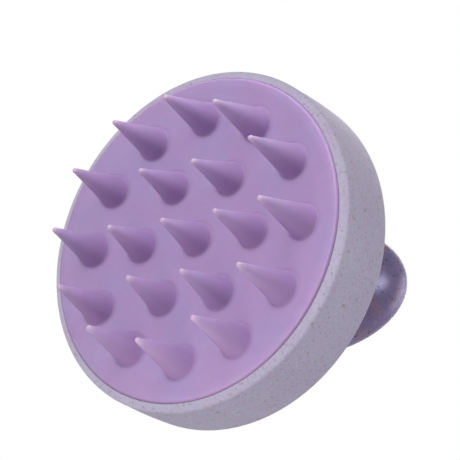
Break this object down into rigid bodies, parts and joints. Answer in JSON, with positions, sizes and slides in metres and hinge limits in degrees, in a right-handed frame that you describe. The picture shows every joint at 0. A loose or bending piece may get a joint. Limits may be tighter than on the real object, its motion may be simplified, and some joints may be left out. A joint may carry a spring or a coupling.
{
  "type": "scalp massager brush",
  "caption": "Round hand-held scalp massager: cone-shaped silicone bristles on a dished pad, a speckled drum-shaped body and an oblong grip on a flared neck.",
  "frame": {"origin": "on the brush's axis, at the level of the outer bristle tips that the brush stands on", "axes": "+Z along the brush's axis from the bristles to the grip, X along a row of bristles and within 2 degrees of the oblong grip's long way, Y across it"},
  "size_m": [0.0784, 0.0784, 0.067],
  "materials": {
    "silicone": "satin purple silicone rubber",
    "carrier_plastic": "satin moulded plastic",
    "straw_plastic": "matte lilac straw-filled plastic with fine brown flecks",
    "straw_plastic_gloss": "glossy lilac straw-filled plastic with fine brown flecks",
    "screw_steel": "zinc plated"
  },
  "bodies": {
    "bristle_head": {"bristle_pad": "silicone", "pad_carrier": "carrier_plastic"},
    "drum_and_grip": {"drum_shell": "straw_plastic", "back_cover": "straw_plastic", "grip_lower": "straw_plastic_gloss", "grip_upper": "straw_plastic_gloss", "grip_screw_left": "screw_steel", "grip_screw_right": "screw_steel"}
  },
  "joints": [
    {"name": "head_pull_off", "type": "slide", "parent": "bristle_head", "child": "drum_and_grip", "axis": [0, 0, 1], "range_m": [0, 0.025]}
  ]
}
